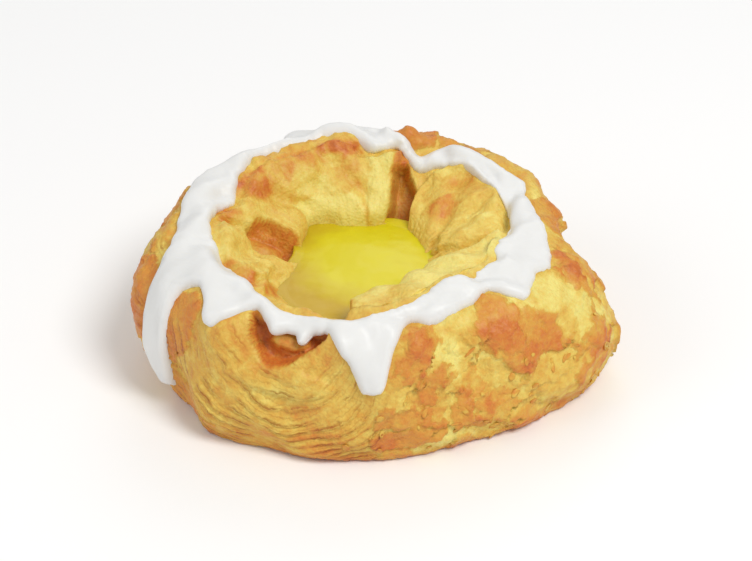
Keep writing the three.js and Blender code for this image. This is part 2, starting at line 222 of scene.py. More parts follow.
def smooth(x):
    """A step from 0 to 1 with soft ends."""
    x = np.clip(x, 0, 1)
    return x * x * (3 - 2 * x)


def past(x, start, soft):
    """0 up to a start, rising to 1 over a soft width."""
    return smooth((x - start) / soft)


def before(x, end, soft):
    """1 until a soft width before an end, falling to 0 there."""
    return smooth((end - x) / soft)


def wrap(degrees):
    """The same direction as -180 to 180 degrees."""
    return np.mod(degrees + 180, 360) - 180


# Roughly how far a degree and a place reach on the dough, for soft edges in millimetres.
MM_PER_DEGREE, MM_PER_PLACE = 0.5, 8


def inside(outline, angle, place, soft):
    """1 inside an outline drawn on the dough, falling to 0 over a soft edge of that many millimetres."""
    start = outline[0][0]
    x, y = wrap(angle - start) * MM_PER_DEGREE, place * MM_PER_PLACE
    nearest = np.full(x.shape, 1e9)
    crossings = np.zeros(x.shape, int)
    for (a1, p1), (a2, p2) in zip(outline, outline[1:] + outline[:1]):
        x1, y1 = wrap(a1 - start) * MM_PER_DEGREE, p1 * MM_PER_PLACE
        dx, dy = wrap(a2 - a1) * MM_PER_DEGREE, (p2 - p1) * MM_PER_PLACE
        t = np.clip(((x - x1) * dx + (y - y1) * dy) / (dx * dx + dy * dy), 0, 1)
        nearest = np.minimum(nearest, np.hypot(x - x1 - t * dx, y - y1 - t * dy))
        if dy:
            crossings += ((y1 > y) != (y1 + dy > y)) & (x < x1 + (y - y1) / dy * dx)
    return smooth(0.5 + np.where(crossings % 2 == 1, nearest, -nearest) / soft)


def spot(angle, place, at, half):
    """1 at a place on the dough, fading to 0 a little past its half-width in degrees and places."""
    return np.exp(-((wrap(angle - at[0]) / half[0]) ** 2) - ((place - at[1]) / half[1]) ** 2)


def pit(angle, place, at, half, soft):
    """1 over the floor of a steep-sided pit with that half-width in degrees and places."""
    return smooth((1 + soft / 2 - np.hypot(wrap(angle - at[0]) / half[0], (place - at[1]) / half[1])) / soft)


def clouds(points, size, seed, octaves=3):
    """Soft random values, about -1 to 1, with bumps of that many millimetres."""
    shift = Vector((17.31, 9.73, 4.17)) * seed
    flat = [noise.fractal(Vector(p) / size + shift, 1, 2, octaves) for p in points.reshape(-1, 3)]
    return np.array(flat).reshape(points.shape[:-1])


def blister_cells(points, size, seed):
    """Distance to the nearest of many random centres, 0 at a centre, in units of the size."""
    shift = Vector((3.3, 8.1, 5.7)) * seed
    flat = [noise.voronoi(Vector(p) / size + shift)[0][0] for p in points.reshape(-1, 3)]
    return np.array(flat).reshape(points.shape[:-1])


# Outlines drawn on the dough, as (angle, place).
BACK_PETAL = [
    (77, 9.6), (77.5, 4.95), (88, 5.02), (97, 5.05), (100, 4.6), (107, 4.5), (125, 4.65), (143, 4.5),
    (153, 4.9), (163, 5.25), (173, 4.9), (171, 5.5), (165, 5.9), (158, 7.1), (156, 9.6),
]
RIGHT_PETAL = [
    (60, 9.6), (60, 7), (64, 6.3), (61, 5.5), (52, 4.85), (37, 4.75), (22, 4.9), (8, 5.1), (1, 5.4),
    (-2, 6.1), (10, 6.8), (22, 7.2), (24, 9.6),
]
LEFT_PETAL = [
    (176, 5), (188, 5.05), (201, 5.35), (207, 5.8), (203, 6.4), (193, 6.6), (186, 6.1), (178, 5.75),
]
FRONT_STRIP = [
    (-100, 4.3), (-99, 6), (-76, 6.35), (-42, 6.35), (-20, 6.05), (-7, 5.65), (1, 5.25),
    (-3, 4.7), (-12, 4.5), (-50, 4.25), (-85, 4.15),
]
CRACK = [(-1, 5.1), (-14, 5.75), (-32, 6.4), (-42, 6.7), (-34, 6.95), (-14, 6.3), (2, 5.5)]
BACK_HOLLOW = [(79, 5.5), (74, 5.4), (69, 5.7), (62, 6.3), (60, 6.8), (70, 6.95), (80, 6.85), (77, 6.5)]
LEFT_HOLLOW = [
    (166, 5.7), (159, 6.05), (160, 6.5), (160, 6.95), (166, 7.05), (176, 6.95), (182, 6.75), (180, 6.1),
    (179, 5.7),
]
FOLD = [
    (-132, 3.7), (-130.9, 3.6), (-128.4, 3.21), (-126, 2.97), (-124.2, 2.84), (-121.5, 2.76), (-118.5, 2.79),
    (-115.2, 2.88), (-112, 3.06), (-109.5, 3.22), (-105.3, 3.45), (-106, 3.62), (-118, 3.68),
]
FOLD_TONGUE = [
    (-123.5, 3.7), (-122.7, 3.15), (-121, 3), (-115.6, 3.05), (-111.5, 3.15), (-112, 3.7),
]
PETAL_FOLD = [
    (93, 4.95), (81, 5), (80, 5.8), (78.5, 6.5), (82, 6.85), (93.5, 6.85), (94, 6.3), (91.5, 5.7),
]
SWIRL = [(-150, 5.5), (-159, 5.4), (-166, 6.2), (-166, 6.8), (-158, 6.5), (-150, 6.3), (-144, 5.9)]
PALE_BLISTER = [
    (-33.8, 3.3), (-27, 3.55), (-19, 3.55), (-18, 3.2), (-22.5, 2.9), (-29.8, 2.88), (-33.5, 3.05),
]
# Sheets of dough that lie on the form, and pockets in it: (outline, thickness, soft edge, how ragged).
PETALS = [
    (BACK_PETAL, 2.4, 0.9, 1), (RIGHT_PETAL, 2.2, 0.9, 1), (LEFT_PETAL, 2, 0.9, 1),
    (FRONT_STRIP, 3.4, 2, 0.3), (PETAL_FOLD, 1.3, 2.2, 1), (SWIRL, 0.9, 1, 1), (PALE_BLISTER, 0.7, 2, 1),
]
POCKETS = [(BACK_HOLLOW, 6.5, 1, 1), (LEFT_HOLLOW, 4.5, 1.6, 1), (FOLD, 4.6, 0.6, 0.3)]
CRACK_DEEP = 1.9
TONGUE_THICK = 2
UNDER_PETAL = ((14, 6.75), (8, 0.25))
FOLD_LIP = ((-116, 2.62), (14, 0.16))
DENTS = [(UNDER_PETAL, 1.6), (FOLD_LIP, -1)]
# Lumps and dips of the ring: (angle, place, half-width in degrees, half-width in places, height).
LUMPS = [
    (-148, 3.2, 5, 0.55, 1.6), (-134, 3.1, 4.5, 0.7, 1.2), (-159, 2.9, 4, 0.7, 0.8),
    (-100, 3.3, 5, 0.55, 1.5), (-167, 2.6, 6, 0.4, 2.2), (-76, 3.35, 6, 0.4, 0.9),
    (-43, 3.2, 10, 0.5, 1), (-25, 3.2, 6, 0.3, 0.7), (-30, 2.1, 12, 0.4, 1),
    (-62, 2.3, 10, 0.5, -0.8), (17, 3, 7, 0.6, 2), (36, 3.1, 11, 0.6, 3),
    (84, 3.95, 3, 0.32, 1.5), (75.5, 4.2, 3.5, 0.42, 1.9), (67, 4, 3, 0.3, 1.3),
    (102, 2.6, 12, 0.5, 1.1), (143, 3.4, 8, 0.5, 1.4), (152, 2.4, 10, 0.5, 1.2),
]
# Torn pieces of the browned top layer that stayed on: (strength, outline).
BROWNED_SHEETS = [
    (0.75, [
        (-50.5, 3.6), (-46, 3.72), (-42, 3.6), (-38.8, 3.28), (-28, 2.85), (-31, 2.55), (-34, 2.42),
        (-37, 2.48), (-41, 2.35), (-43.3, 2.6), (-51, 2.75), (-59.6, 2.58), (-56, 2.72), (-55.7, 3),
    ]),
    (1, [(-50.5, 3.5), (-44, 3.45), (-41, 3.15), (-41.5, 2.88), (-46, 2.75), (-52.3, 2.77), (-55, 3)]),
    (1, [(-36, 2.9), (-33, 2.75), (-35, 2.5), (-40, 2.42), (-42, 2.6), (-39, 2.72)]),
    (0.95, [(-77, 2.58), (-75, 2.77), (-64, 2.66), (-68.5, 2.55), (-69.8, 2.38), (-73, 2.28), (-77, 2.4)]),
    (0.8, [(-90.6, 2.12), (-86, 2.4), (-72.6, 2.22), (-71.4, 2.05), (-77.6, 1.98), (-87, 2.05)]),
    (1.25, [(-91, 1.92), (-79, 1.97), (-69, 1.97), (-68, 1.65), (-78.8, 1.45), (-90, 1.5)]),
    (0.85, [(-67, 2.15), (-62, 2.36), (-59, 2.33), (-60.2, 2.05), (-55, 1.76), (-57, 1.5), (-66, 1.8)]),
    (0.95, [(-30, 1.9), (-26.4, 2.14), (-23.5, 1.98), (-27, 1.84), (-29, 1.6)]),
    (0.5, [(-85, 2.75), (-73, 3.6), (-70, 3.42), (-77, 2.9), (-80.4, 2.72)]),
    (0.6, [(-31, 2.46), (-27.6, 2.36), (-22.5, 2.42), (-23, 2.27), (-29, 2.22)]),
    (0.95, [(22, 3.35), (18, 2.9), (8, 2.95), (1, 3.3), (8, 3.62), (18, 3.78)]),
    (0.9, [(-8, 3.55), (-10, 3.25), (-13, 2.85), (-11.8, 2.5), (-15, 2.7), (-17, 3.1)]),
    (0.85, [(-15, 2.67), (-15.8, 2.35), (-18.6, 2.12), (-22.5, 2.1), (-22.5, 2.45)]),
    (1.15, [
        (-177, 2.5), (-172, 2.95), (-168, 3.08), (-163, 3.02), (-160, 2.5), (-160, 2),
        (-166, 1.8), (-173, 1.9),
    ]),
    (0.9, [
        (-149.6, 3.5), (-144.6, 3.3), (-143.8, 2.77), (-146, 2.4), (-151, 2), (-156, 1.9), (-157, 2.4),
        (-155, 2.9), (-152, 3.2),
    ]),
    (0.65, [
        (-156, 2), (-152, 1.9), (-149, 1.7), (-140, 1.6), (-133, 1.55), (-134, 1.4), (-150, 1.2), (-156, 1.3),
    ]),
    (1.1, [(84, 4.4), (84, 3.7), (76, 3.3), (68, 3.5), (66, 4.3), (70, 4.85), (76, 4.8)]),
    (0.7, [(66, 3.9), (60, 3.6), (48, 3.7), (44, 4.15), (56, 4.05), (63, 4.25)]),
    (0.7, [(120, 3.1), (134, 3.3), (140, 2.6), (128, 2.2), (112, 2.3), (104, 2.8)]),
    (0.8, [(150, 2.9), (162, 3.2), (172, 2.9), (166, 2.5), (154, 2.4)]),
    (0.8, [(88, 2.6), (98, 2.9), (104, 2.2), (94, 1.8), (82, 2.1)]),
    (0.75, [(38, 2.8), (52, 2.9), (58, 2.3), (48, 1.9), (36, 2.1)]),
    (0.7, [(6, 2.2), (18, 2.4), (24, 1.9), (14, 1.5), (4, 1.7)]),
    (0.7, [(140, 1.8), (156, 2), (168, 1.7), (160, 1.3), (144, 1.3)]),
    (0.6, [(64, 1.8), (78, 1.9), (82, 1.4), (70, 1.2), (60, 1.4)]),
    (0.6, [(178, 1.9), (188, 2.1), (194, 1.7), (186, 1.4), (178, 1.5)]),
]
# Browned tips, cheeks and edges of the petals: (strength, outline).
BROWNED_PETALS = [
    (1, [(119, 4.8), (109, 4), (101, 3.9), (95, 4.4), (98, 5), (105, 5.2), (112, 4.95)]),
    (0.7, [(157, 4.5), (150, 4.3), (142.3, 4.56), (145, 5.1), (146, 5.5), (152, 5.5), (157, 5.2)]),
    (0.6, [(140, 4.3), (120, 4.2), (112, 4.8), (118, 5.3), (128, 5.1), (136, 5.3)]),
    (0.35, [(108, 5.1), (98, 5), (97, 5.9), (104, 6), (112, 5.6)]),
    (0.6, [(49, 6.3), (47, 5.9), (41.6, 5.7), (32, 5.75), (30, 6.2), (36, 6.55), (43, 6.5)]),
    (0.3, [(56, 5.4), (48, 5.15), (34, 5.2), (30, 5.5), (44, 5.6), (52, 5.9)]),
    (0.75, [(170, 4.6), (164, 4.85), (169, 5.4), (175, 5.3), (174, 4.9)]),
    (0.6, [(196, 5), (206, 5.3), (210, 5.9), (204, 5.9), (198, 5.4)]),
    (0.8, [(-150, 6.1), (-157, 6.7), (-152, 6.95), (-144, 6.6), (-144, 6.2)]),
    (1, [(-108, 4.2), (-104, 5.8), (-98, 6.2), (-97, 5.2), (-98, 4.4)]),
    (0.85, [(79.5, 4.9), (73, 4.9), (72, 5.7), (76, 6.1), (79.5, 5.8)]),
    (0.25, [(-90, 5.5), (-80, 5.9), (-60, 5.6), (-70, 5), (-86, 4.8)]),
]
# Where the raw layers show pale: (strength, outline).
PALE_PATCHES = [
    (0.26, PALE_BLISTER),
    (0.2, [(-70.9, 3.33), (-65.2, 3.28), (-60, 3.05), (-60.8, 2.77), (-64, 2.67), (-70.9, 2.85)]),
    (0.2, [(-172, 2.95), (-176, 3.0), (-172, 3.45), (-165, 3.4), (-166, 3.12)]),
    (0.3, PETAL_FOLD),
    (0.16, FRONT_STRIP),
    (0.2, [(-22, 3.2), (-14, 3), (-12, 2.4), (-22, 2.3), (-30, 2.5), (-27, 2.75)]),
    (0.15, [(-53, 2.2), (-40, 2.2), (-34, 1.7), (-46, 1.6), (-54, 1.8)]),
    (0.3, [(97, 6.3), (120, 6.1), (140, 6.2), (142, 7.2), (97, 7.2)]),
    (0.16, [(128, 5.2), (118, 5.5), (112, 6.1), (124, 6.1), (136, 5.9)]),
]

DOUGH_SLICES = 660
# Steps between rings of points in each part of the slice.
ROW_STEPS = [5, 36, 42, 14, 9, 14, 14, 5, 1]
# Waves round the ring: (how many, slant, start).
WAVES = [(7, 2.1, 0), (11, -3.3, 1), (17, 5, 2)]
WAVE_HEIGHT = 0.42
# Cut layers: rings that start some way off the open fold's middle, and flatter ones along the side.
FOLD_MIDDLE = (-117, 3.6)
FOLD_MM_PER_DEGREE, FOLD_MM_PER_PLACE = 0.85, 15
RING_START, RING_HALF_WIDTH = 10, 34
RING_PITCH, RING_STEP = 2.6, 0.66
SIDE_PITCH, SIDE_STEP = 2.9, 0.34
# Torn plates: how large, how ragged, how steep, and how far one stands over the next.
PLATE_SIZE, PLATE_TEAR = 8.5, 2.4
PLATE_TILT, PLATE_STEP = 0.1, 0.5
FLAKIEST_ANGLE = -38
WRINKLE_PITCH, WRINKLE_HEIGHT = 2.6, 0.3
CREASE_HEIGHT = 1.1
SHEET_LIFT = 0.45
CREST_CRUMPLE = 0.9
BLISTER_SIZE = 5.5
GRAIN_HEIGHT = 0.1
# How far the dough is baked, from 0 for raw layers to 1 for the darkest edges.
CRUST_BAKE, FOOT_BAKE, WALL_PALER = 0.37, 0.34, 0.14
POCKET_BAKE, FOLD_BAKE = 0.38, 0.36


def rolled_form(angle, place):
    """Height of the low waves and lumps of the ring over its plain form."""
    turn = np.radians(angle)
    waves = sum(np.sin(count * turn + slant * place + start) for count, slant, start in WAVES)
    height = WAVE_HEIGHT * waves * past(place, 0.8, 0.7) * before(place, 7, 0.8)
    for a, p, half_a, half_p, lift in LUMPS:
        height += lift * spot(angle, place, (a, p), (half_a, half_p))
    return height


def folded_form(angle, place, points):
    """Height of the folded ring, and how far points lie on petals, in pockets and on the fold's tongue."""
    angle_noise, place_noise = 1.3 * clouds(points, 3.5, 1), 0.06 * clouds(points, 3.5, 2)

    def covered(outline, soft, ragged=1):
        return inside(outline, angle + ragged * angle_noise, place + ragged * place_noise, soft)

    height = rolled_form(angle, place)
    above_custard = before(place, 7.3, 0.7)
    petal = np.zeros_like(height)
    for outline, thick, soft, ragged in PETALS:
        cover = covered(outline, soft, ragged) * above_custard
        height += thick * cover
        petal = np.maximum(petal, cover)
    hollow = np.zeros_like(height)
    for outline, deep, soft, ragged in POCKETS:
        cover = covered(outline, soft, ragged)
        height -= deep * cover
        hollow = np.maximum(hollow, cover)
    tongue = covered(FOLD_TONGUE, 1.4) * hollow
    height += TONGUE_THICK * tongue - CRACK_DEEP * covered(CRACK, 1.6)
    for (at, half), deep in DENTS:
        height -= deep * pit(angle + angle_noise, place + place_noise, at, half, 0.3)
    return height, petal, hollow, tongue


def cut_layers(angle, place, points, outer, flaky):
    """Edges of the layers: their height, number and strength, and the area of the rings round the fold."""
    across = wrap(angle - FOLD_MIDDLE[0]) * FOLD_MM_PER_DEGREE
    reach = np.hypot(across, (FOLD_MIDDLE[1] - place) * FOLD_MM_PER_PLACE)
    ring_area = past(reach, RING_START, 4) * before(np.abs(across + 3), RING_HALF_WIDTH, 8) * outer
    ring = (reach + 2.6 * clouds(points, 15, 3, 2) + 0.4 * clouds(points, 2.6, 4, 2)) / RING_PITCH
    side = (points[..., 2] + 5 * clouds(points, 16, 6) + 0.8 * clouds(points, 3, 7)) / SIDE_PITCH
    layer = np.where(ring_area > 0.5, ring, side)
    lower_down = 0.4 + 0.6 * before(place, 3.1, 0.8)
    ring_strength = lower_down * smooth(2 * ring_area - 1) * smooth(0.75 + 1.3 * clouds(points, 6, 5))
    side_strength = smooth(1 - 2 * ring_area) * (outer * (1 - ring_area)) * (1 - 0.85 * flaky)
    side_strength *= smooth(0.3 + 1.2 * clouds(points, 8, 8))
    part = np.mod(layer, 1)
    profile = part**0.6 * before(part, 1, 0.16) - 0.5
    height = (RING_STEP * ring_strength + SIDE_STEP * side_strength) * profile
    return height, layer, np.maximum(ring_strength, side_strength), ring_area


def plates(points, seed):
    """Torn plates like shingles: the height of each over the form, and a value of its own from 0 to 1."""
    spread = np.stack([clouds(points, 4, seed + k, 4) for k in range(3)], -1)
    places = (points + PLATE_TEAR * spread) / PLATE_SIZE
    near = np.array([noise.voronoi(Vector(p))[1][0] for p in places.reshape(-1, 3)]).reshape(points.shape)
    # The plate's centre, scrambled, gives the value that also turns its slope.
    own = np.mod(np.sin(near @ (12.99, 78.23, 37.72)) * 437.58, 1)
    lean = np.stack([np.cos(own * 40), np.sin(own * 40), -0.8 + 0 * own], -1)
    tilt = np.sum((places - near) * lean, -1) * PLATE_SIZE
    return PLATE_TILT * tilt + PLATE_STEP * (own - 0.5), own


def drawn(patches, angle, place, soft):
    """The strongest of several outlined patches at each point."""
    strongest = np.zeros_like(angle)
    for strength, outline in patches:
        strongest = np.maximum(strongest, strength * inside(outline, angle, place, soft))
    return strongest


def pocket_bake(angle, place, points, tongue):
    """How far the pockets are baked: most in the open fold and toward the back of the left one."""
    toward_back = smooth((wrap(166 - angle) + 12) / 16) * smooth(wrap(angle - 90) / 20)
    at_back = smooth(1.5 - np.abs(wrap(angle - 70)) / 16)
    bake = POCKET_BAKE + 0.26 * toward_back + FOLD_BAKE * before(place, 4, 0.2) - 0.2 * tongue
    return bake + 0.14 * at_back + 0.08 * clouds(points, 3, 18)


def dough_relief(angle, place, points):
    """Height of the real crust over its plain form, and its looks: how it is browned and layered."""
    height, petal, hollow, tongue = folded_form(angle, place, points)
    outer = before(place, 3.9, 0.4) * past(place, 0.5, 0.4) * (1 - petal)
    flaky = past(np.cos(np.radians(wrap(angle - FLAKIEST_ANGLE))), 0.35, 0.3) * past(place, 0.9, 0.4)
    layer_height, layer, layered, ring_area = cut_layers(angle, place, points, outer, flaky)
    height += layer_height

    # Torn plates of the crust, most of all on the right front and at the far right.
    side_area = outer * (1 - ring_area)
    plate, plate_own = plates(points, 25)
    plate_area = side_area * (0.35 + 0.65 * flaky)
    height += plate_area * plate

    # Wrinkles that run down the petals to the custard.
    wall = past(place, 4.2, 0.4) * before(place, 7.6, 0.4)
    creased_wall = wall * (1 - 0.8 * inside(FRONT_STRIP, angle, place, 3))
    wrinkle = np.mod((angle * 0.42 + 2.2 * clouds(points, 7, 9) + 1.2 * place) / WRINKLE_PITCH, 1)
    wrinkle_strength = creased_wall * smooth(0.3 + clouds(points, 6, 10))
    height += WRINKLE_HEIGHT * wrinkle_strength * (np.sin(np.pi * wrinkle) ** 2 - 0.5)
    height += CREASE_HEIGHT * creased_wall * clouds(points, 8, 23, 2)

    # The browned sheets, and the blisters and crumples of the bare crust.
    torn_angle = angle + 2 * clouds(points, 3.2, 21, 5)
    torn_place = place + 0.13 * clouds(points, 3.2, 22, 5)
    browned = drawn(BROWNED_SHEETS, torn_angle, torn_place, 0.5)
    bare = before(place, 5, 0.3) * past(place, 0.5, 0.4) * (1 - petal)
    height += SHEET_LIFT * past(browned, 0.3, 0.3) * bare
    height += CREST_CRUMPLE * (bare - outer).clip(0, 1) * clouds(points, 4, 27, 3)
    blister = smooth(1 - blister_cells(points, BLISTER_SIZE, 1) / 0.62)
    height += (0.35 * side_area + 0.15 * wall) * blister
    crumple = clouds(points, 2.6, 13, 4)
    height += (0.34 * side_area + 0.14 * ring_area + 0.14 * wall) * crumple
    height += GRAIN_HEIGHT * clouds(points, 0.9, 14, 2) * past(place, 0.4, 0.4)

    # Baking: patchy all over, streaked along the layers, darker at the foot and on what stands proud.
    streak = clouds(np.stack([layer * 2.2, angle * 0.09, place * 0.6], -1), 2, 19) * np.abs(2 * ring_area - 1)
    bake = CRUST_BAKE + 0.12 * clouds(points, 11, 15) + 0.12 * clouds(points, 3, 16) + 0.18 * streak * outer
    bake += plate_area * (0.34 * (plate_own - 0.5) + 0.12 * plate) + 0.06 * crumple * side_area
    bake += FOOT_BAKE * before(place, 1.55, 1.1) * smooth(0.95 + 0.8 * clouds(points, 8, 17))
    bake -= wall * WALL_PALER
    petal_tips = 0.62 * drawn(BROWNED_PETALS, torn_angle, torn_place, 2.6) * smooth(0.8 + 0.5 * crumple)
    bake += wall * (petal_tips + 0.1 * wrinkle_strength * (wrinkle - 0.5))
    bake -= drawn(PALE_PATCHES, torn_angle, torn_place, 2)
    bake = bake + (pocket_bake(angle, place, points, tongue) - bake) * smooth(hollow / 0.3)
    looks = {
        "bake": np.clip(bake, 0, 1),
        "browned": browned * bare * (1 - hollow),
        "layer": layer,
        "layered": layered * (1 - hollow),
        "flaking": outer * (1 - hollow) * flaky * before(place, 2.9, 0.6),
    }
    return height, looks


def dough_rows():
    """Places of the rings, spread evenly along the slice."""
    places = [0.0]
    for part, steps in enumerate(ROW_STEPS):
        places += [part + (k + 1) / steps for k in range(steps)]
    return np.array(places)


MM = 0.001


def mesh_object(name, points, faces, attributes=None):
    """An object from points in millimetres, with smooth faces and one value per point for each attribute."""
    mesh = bpy.data.meshes.new(name)
    mesh.from_pydata((points * MM).tolist(), [], faces)
    mesh.validate()
    mesh.shade_smooth()
    for label, values in (attributes or {}).items():
        mesh.attributes.new(label, "FLOAT", "POINT").data.foreach_set("value", values.astype(np.float32))
    piece = bpy.data.objects.new(name, mesh)
    scene.collection.objects.link(piece)
    return piece


def ring_faces(rings, columns, closed):
    """Quads between rings of points stored ring by ring; closed joins the last ring to the first."""
    faces = []
    for row in range(rings if closed else rings - 1):
        low, high = row * columns, (row + 1) % rings * columns
        for k in range(columns):
            after = (k + 1) % columns
            faces.append((low + k, low + after, high + after, high + k))
    return faces


def capped_rings(grid, bottom, top):
    """Points and outward faces of a stack of rings, with one point to close each end."""
    rings, columns = grid.shape[:2]
    points = np.concatenate([grid.reshape(-1, 3), [bottom, top]])
    faces = ring_faces(rings, columns, False)
    last = (rings - 1) * columns
    for k in range(columns):
        after = (k + 1) % columns
        faces.append((rings * columns, after, k))
        faces.append((rings * columns + 1, last + k, last + after))
    return points, faces


dough_angle, dough_place = np.meshgrid(np.arange(DOUGH_SLICES) * 360 / DOUGH_SLICES, dough_rows())
dough_plain = smooth_point(dough_angle, dough_place)
dough_height, dough_looks = dough_relief(dough_angle, dough_place, dough_plain)
dough_points = dough_plain + outward(dough_angle, dough_place) * dough_height[..., None]
dough_points[..., 2] = np.maximum(0, dough_points[..., 2])
points, faces = capped_rings(
    dough_points, (-MIDDLE[0], -MIDDLE[1], 0), (-MIDDLE[0], -MIDDLE[1], WELL_FLOOR)
)
at_ends = [0, 0]
looks = {name: np.append(values.ravel(), at_ends) for name, values in dough_looks.items()}
dough = mesh_object("baked_dough", points, faces, looks)


def srgb(red, green, blue):
    """A colour given as 0 to 255 on a screen, as the shader's own values."""
    parts = [c / 255 for c in (red, green, blue)]
    return tuple(p / 12.92 if p <= 0.04045 else ((p + 0.055) / 1.055) ** 2.4 for p in parts) + (1,)


def joined(nodes, links, operation, first, second, third=None):
    """A math node fed by outputs or plain numbers."""
    node = nodes.new("ShaderNodeMath")
    node.operation = operation
    for socket, value in zip(node.inputs, (first, second, third)):
        if isinstance(value, (int, float)):
            socket.default_value = value
        elif value is not None:
            links.new(value, socket)
    return node.outputs[0]


def set_inputs(node, values):
    """Gives a node's inputs their values by name."""
    for name, value in values.items():
        node.inputs[name].default_value = value


def speckle_group():
    """Small uneven spots and a crumbly height, shared by all that was baked."""
    group = bpy.data.node_groups.new("crust_speckle", "ShaderNodeTree")
    group.interface.new_socket("Size", in_out="INPUT", socket_type="NodeSocketFloat").default_value = 900
    group.interface.new_socket("Spots", in_out="OUTPUT", socket_type="NodeSocketFloat")
    group.interface.new_socket("Crumb", in_out="OUTPUT", socket_type="NodeSocketFloat")
    nodes, links = group.nodes, group.links
    entry, leave = nodes.new("NodeGroupInput"), nodes.new("NodeGroupOutput")
    place = nodes.new("ShaderNodeTexCoord")
    spots = nodes.new("ShaderNodeTexNoise")
    set_inputs(spots, {"Detail": 4, "Roughness": 0.62, "Distortion": 0.6})
    crumb = nodes.new("ShaderNodeTexVoronoi")
    crumb.feature = "SMOOTH_F1"
    set_inputs(crumb, {"Smoothness": 0.4})
    finer = joined(nodes, links, "MULTIPLY", entry.outputs["Size"], 2.1)
    mixed = joined(nodes, links, "MULTIPLY_ADD", crumb.outputs["Distance"], 0.6, spots.outputs["Fac"])
    links.new(place.outputs["Object"], spots.inputs["Vector"])
    links.new(place.outputs["Object"], crumb.inputs["Vector"])
    links.new(entry.outputs["Size"], spots.inputs["Scale"])
    links.new(finer, crumb.inputs["Scale"])
    links.new(spots.outputs["Fac"], leave.inputs["Spots"])
    links.new(mixed, leave.inputs["Crumb"])
    return group


crust_speckle = speckle_group()
# Baked colours from the raw pale layers to the darkest edges.
BAKED_COLOURS = [
    (0.0, srgb(234, 218, 124)),
    (0.22, srgb(226, 194, 92)),
    (0.42, srgb(217, 169, 70)),
    (0.58, srgb(214, 145, 58)),
    (0.75, srgb(206, 116, 48)),
    (1.0, srgb(160, 78, 36)),
]
# Painted shade: a dull brown multiplied into the layer creases, standing in for the shadow inside them.
CREASE_PAINTED_SHADE = srgb(206, 178, 132)


def speckled(nodes, size):
    """The spots and crumbs of the shared speckle at one size."""
    speckle = nodes.new("ShaderNodeGroup")
    speckle.node_tree = crust_speckle
    set_inputs(speckle, {"Size": size})
    return speckle.outputs["Spots"], speckle.outputs["Crumb"]


def ranged(nodes, links, value, low, high, to_low=0.0, to_high=1.0):
    """A value brought from one range to another, smoothly and held at its ends."""
    node = nodes.new("ShaderNodeMapRange")
    node.interpolation_type = "SMOOTHSTEP"
    set_inputs(node, {"From Min": low, "From Max": high, "To Min": to_low, "To Max": to_high})
    links.new(value, node.inputs["Value"])
    return node.outputs["Result"]


def colour_ramp(nodes, links, value, stops):
    ramp = nodes.new("ShaderNodeValToRGB")
    elements = ramp.color_ramp.elements
    elements[0].position, elements[0].color = stops[0]
    elements[1].position, elements[1].color = stops[-1]
    for position, colour in stops[1:-1]:
        elements.new(position).color = colour
    links.new(value, ramp.inputs["Fac"])
    return ramp.outputs["Color"]


def noise_texture(nodes, links, scale, detail=3):
    place = nodes.new("ShaderNodeTexCoord")
    texture = nodes.new("ShaderNodeTexNoise")
    set_inputs(texture, {"Scale": scale, "Detail": detail})
    links.new(place.outputs["Object"], texture.inputs["Vector"])
    return texture.outputs["Fac"]


def attribute(nodes, name):
    node = nodes.new("ShaderNodeAttribute")
    node.attribute_name = name
    return node.outputs["Fac"]


def dent(nodes, links, height, strength, distance):
    """Bumps of a height on a material's surface."""
    bump = nodes.new("ShaderNodeBump")
    set_inputs(bump, {"Strength": strength, "Distance": distance})
    links.new(height, bump.inputs["Height"])
    links.new(bump.outputs["Normal"], nodes["Principled BSDF"].inputs["Normal"])


def new_material(name, values):
    """A material with these values of its shader, and its nodes, links and shader."""
    material = bpy.data.materials.new(name)
    material.use_nodes = True
    nodes, links = material.node_tree.nodes, material.node_tree.links
    shader = nodes["Principled BSDF"]
    set_inputs(shader, values)
    return material, nodes, links, shader


